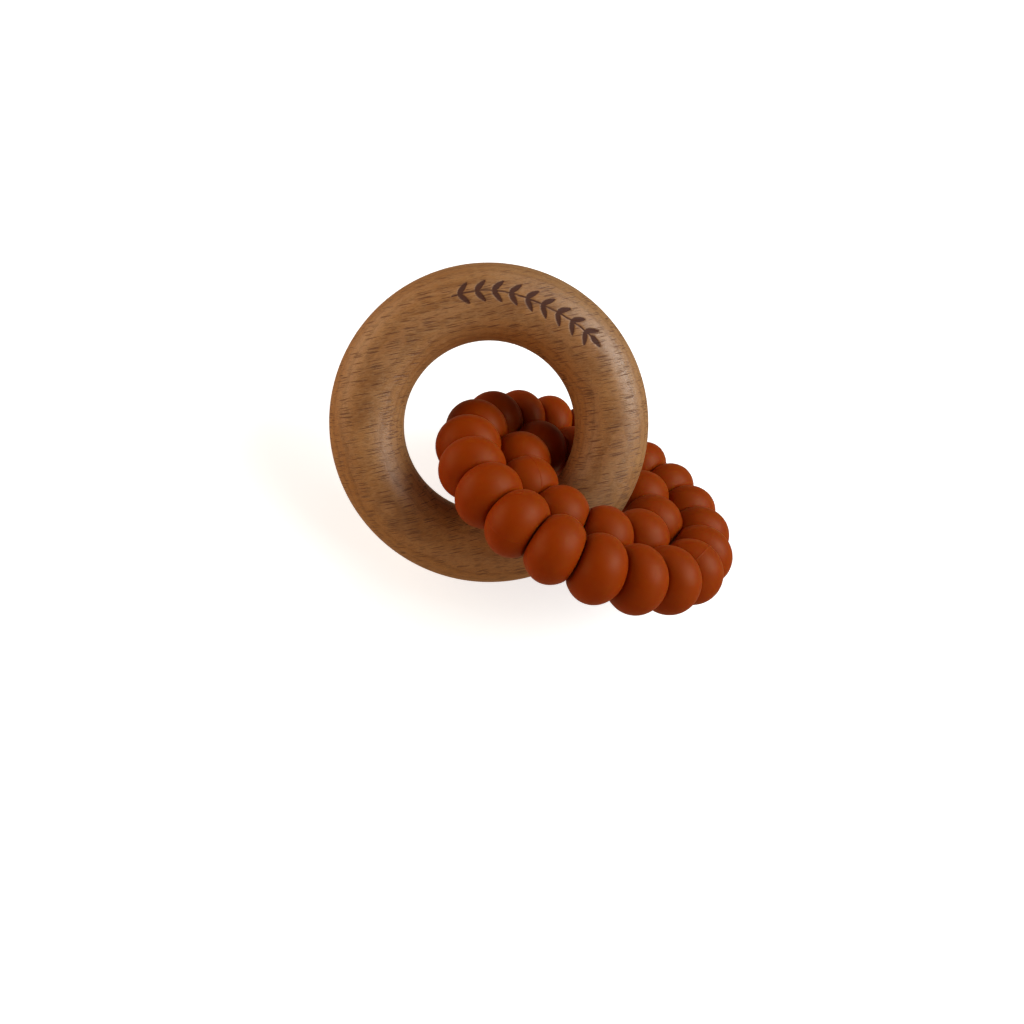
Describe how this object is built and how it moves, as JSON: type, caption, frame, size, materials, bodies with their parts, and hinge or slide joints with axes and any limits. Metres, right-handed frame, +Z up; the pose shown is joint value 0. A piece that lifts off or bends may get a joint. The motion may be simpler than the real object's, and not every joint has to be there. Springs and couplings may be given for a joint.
{
  "type": "baby rattle",
  "caption": "Teething rattle: a round beech ring threaded through a loop made of two nested rows of silicone beads.",
  "frame": {"origin": "on the table under the middle of the rattle's bounding box", "axes": "+Z up from the table; the wooden ring leans towards -Y and the bead loop lies towards +X"},
  "size_m": [0.0944, 0.0672, 0.0544],
  "materials": {
    "beech": "satin oiled",
    "silicone": "matte",
    "cord": "matte waxed"
  },
  "bodies": {
    "wooden_ring": {"wooden_ring": "beech"},
    "outer_knot": {"outer_knot": "cord"},
    "cords": {"outer_cord": "cord", "inner_cord": "cord", "inner_knot": "cord"},
    "bead_loop": {"outer_bead_01": "silicone", "outer_bead_02": "silicone", "outer_bead_03": "silicone", "outer_bead_04": "silicone", "outer_bead_05": "silicone", "outer_bead_06": "silicone", "outer_bead_07": "silicone", "outer_bead_08": "silicone", "outer_bead_09": "silicone", "outer_bead_10": "silicone", "outer_bead_11": "silicone", "outer_bead_12": "silicone", "outer_bead_13": "silicone", "outer_bead_14": "silicone", "outer_bead_15": "silicone", "outer_bead_16": "silicone", "outer_bead_17": "silicone", "outer_bead_18": "silicone", "outer_bead_19": "silicone", "outer_bead_20": "silicone", "inner_bead_01": "silicone", "inner_bead_02": "silicone", "inner_bead_03": "silicone", "inner_bead_04": "silicone", "inner_bead_05": "silicone", "inner_bead_06": "silicone", "inner_bead_07": "silicone", "inner_bead_08": "silicone", "inner_bead_09": "silicone", "inner_bead_10": "silicone"}
  },
  "joints": [
    {"name": "loop_travel", "type": "hinge", "parent": "wooden_ring", "child": "outer_knot", "pos_m": [-0.01215, 0.00671, 0.02722], "axis": [0, -0.712, 0.7022], "continuous": true},
    {"name": "loop_rock", "type": "hinge", "parent": "outer_knot", "child": "cords", "pos_m": [0.01209, -0.00027, 0.02015], "axis": [0.8439, -0.5349, 0.0414], "range_deg": [-43, 0.5]},
    {"name": "bead_turn", "type": "hinge", "parent": "cords", "child": "bead_loop", "pos_m": [0.01209, -0.00027, 0.02015], "axis": [0.2123, 0.4039, 0.8898], "continuous": true}
  ]
}
